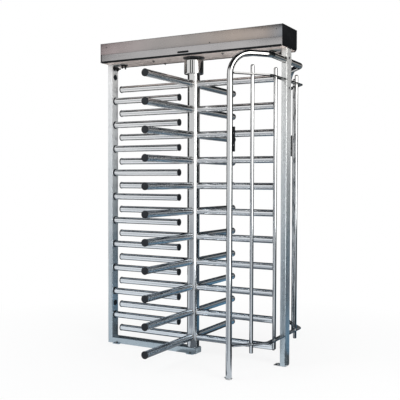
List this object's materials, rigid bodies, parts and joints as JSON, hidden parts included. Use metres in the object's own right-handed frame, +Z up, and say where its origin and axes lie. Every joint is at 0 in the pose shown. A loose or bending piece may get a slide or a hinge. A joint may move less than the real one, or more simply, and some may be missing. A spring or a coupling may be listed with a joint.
{
  "type": "full height turnstile",
  "caption": "Full height turnstile: a rotor of horizontal arms turns between a fixed comb and a curved tubular guard under a long header box.",
  "frame": {"origin": "on the floor, under the middle of the rail's centre foot, on the rotor's axis", "axes": "+X along the header towards the guard, +Y away from the front, +Z up"},
  "size_m": [1.488, 1.29, 2.299],
  "materials": {
    "polished_stainless": "polished",
    "brushed_stainless": "fine brushed",
    "black_plastic": "matt black moulded",
    "dark_iron": "black coated",
    "plain_steel": "machined",
    "zinc_plate": "zinc plated",
    "grey_plastic": "matt moulded"
  },
  "bodies": {
    "frame": {"comb_bar_01": "polished_stainless", "comb_bar_02": "polished_stainless", "comb_bar_03": "polished_stainless", "comb_bar_04": "polished_stainless", "comb_bar_05": "polished_stainless", "comb_bar_06": "polished_stainless", "comb_bar_07": "polished_stainless", "comb_bar_08": "polished_stainless", "comb_bar_09": "polished_stainless", "comb_bar_10": "polished_stainless", "guard_bar_front_1": "polished_stainless", "guard_bar_front_2": "polished_stainless", "guard_bar_rear_1": "polished_stainless", "guard_bar_rear_2": "polished_stainless", "hoop_lower_front": "polished_stainless", "hoop_lower_rear": "polished_stainless", "hoop_upper_front": "polished_stainless", "hoop_upper_rear": "polished_stainless", "guard_tube_front": "polished_stainless", "guard_tube_rear": "polished_stainless", "left_post": "brushed_stainless", "right_post": "brushed_stainless", "floor_rail": "brushed_stainless", "header_tray": "brushed_stainless", "header_lid": "brushed_stainless", "header_end_cap_left": "black_plastic", "header_end_cap_right": "black_plastic", "reader_plate_front": "black_plastic", "reader_plate_rear": "black_plastic", "bearing_housing": "dark_iron", "right_post_foot": "plain_steel", "lower_pivot": "plain_steel", "bracket_left": "zinc_plate", "bracket_right": "zinc_plate", "mechanism_plate": "zinc_plate", "entry_solenoid": "zinc_plate", "exit_solenoid": "zinc_plate", "damper_bridge": "zinc_plate", "control_box": "grey_plastic", "rail_end_cap": "grey_plastic"},
    "rotor": {"rotor_column": "polished_stainless", "arm_tier_01": "polished_stainless", "arm_tier_02": "polished_stainless", "arm_tier_03": "polished_stainless", "arm_tier_04": "polished_stainless", "arm_tier_05": "polished_stainless", "arm_tier_06": "polished_stainless", "arm_tier_07": "polished_stainless", "arm_tier_08": "polished_stainless", "arm_tier_09": "polished_stainless", "arm_tier_10": "polished_stainless", "arm_tier_11": "polished_stainless", "head_collar": "polished_stainless", "drive_shaft": "plain_steel", "index_wheel": "plain_steel"},
    "entry_pawl": {"entry_pawl": "plain_steel"},
    "exit_pawl": {"exit_pawl": "plain_steel"},
    "entry_plunger": {"entry_plunger": "plain_steel"},
    "exit_plunger": {"exit_plunger": "plain_steel"}
  },
  "joints": [
    {"name": "rotor_turn", "type": "hinge", "parent": "frame", "child": "rotor", "pos_m": [0, 0, 0], "axis": [0, 0, 1], "continuous": true},
    {"name": "entry_lock", "type": "hinge", "parent": "frame", "child": "entry_pawl", "pos_m": [-0.1, -0.1, 2.18], "axis": [0, 0, 1], "range_deg": [0, 8], "stiffness_Nm_per_rad": 2},
    {"name": "exit_lock", "type": "hinge", "parent": "frame", "child": "exit_pawl", "pos_m": [-0.1, 0.1, 2.18], "axis": [0, 0, -1], "range_deg": [0, 8], "stiffness_Nm_per_rad": 2},
    {"name": "entry_plunger_slide", "type": "slide", "parent": "frame", "child": "entry_plunger", "axis": [0, -1, 0], "range_m": [0, 0.0063]},
    {"name": "exit_plunger_slide", "type": "slide", "parent": "frame", "child": "exit_plunger", "axis": [0, 1, 0], "range_m": [0, 0.0063]}
  ],
  "couplings": [
    {"joint": "entry_plunger_slide", "follows": "entry_lock", "m_per_rad": 0.045},
    {"joint": "exit_plunger_slide", "follows": "exit_lock", "m_per_rad": 0.045}
  ]
}
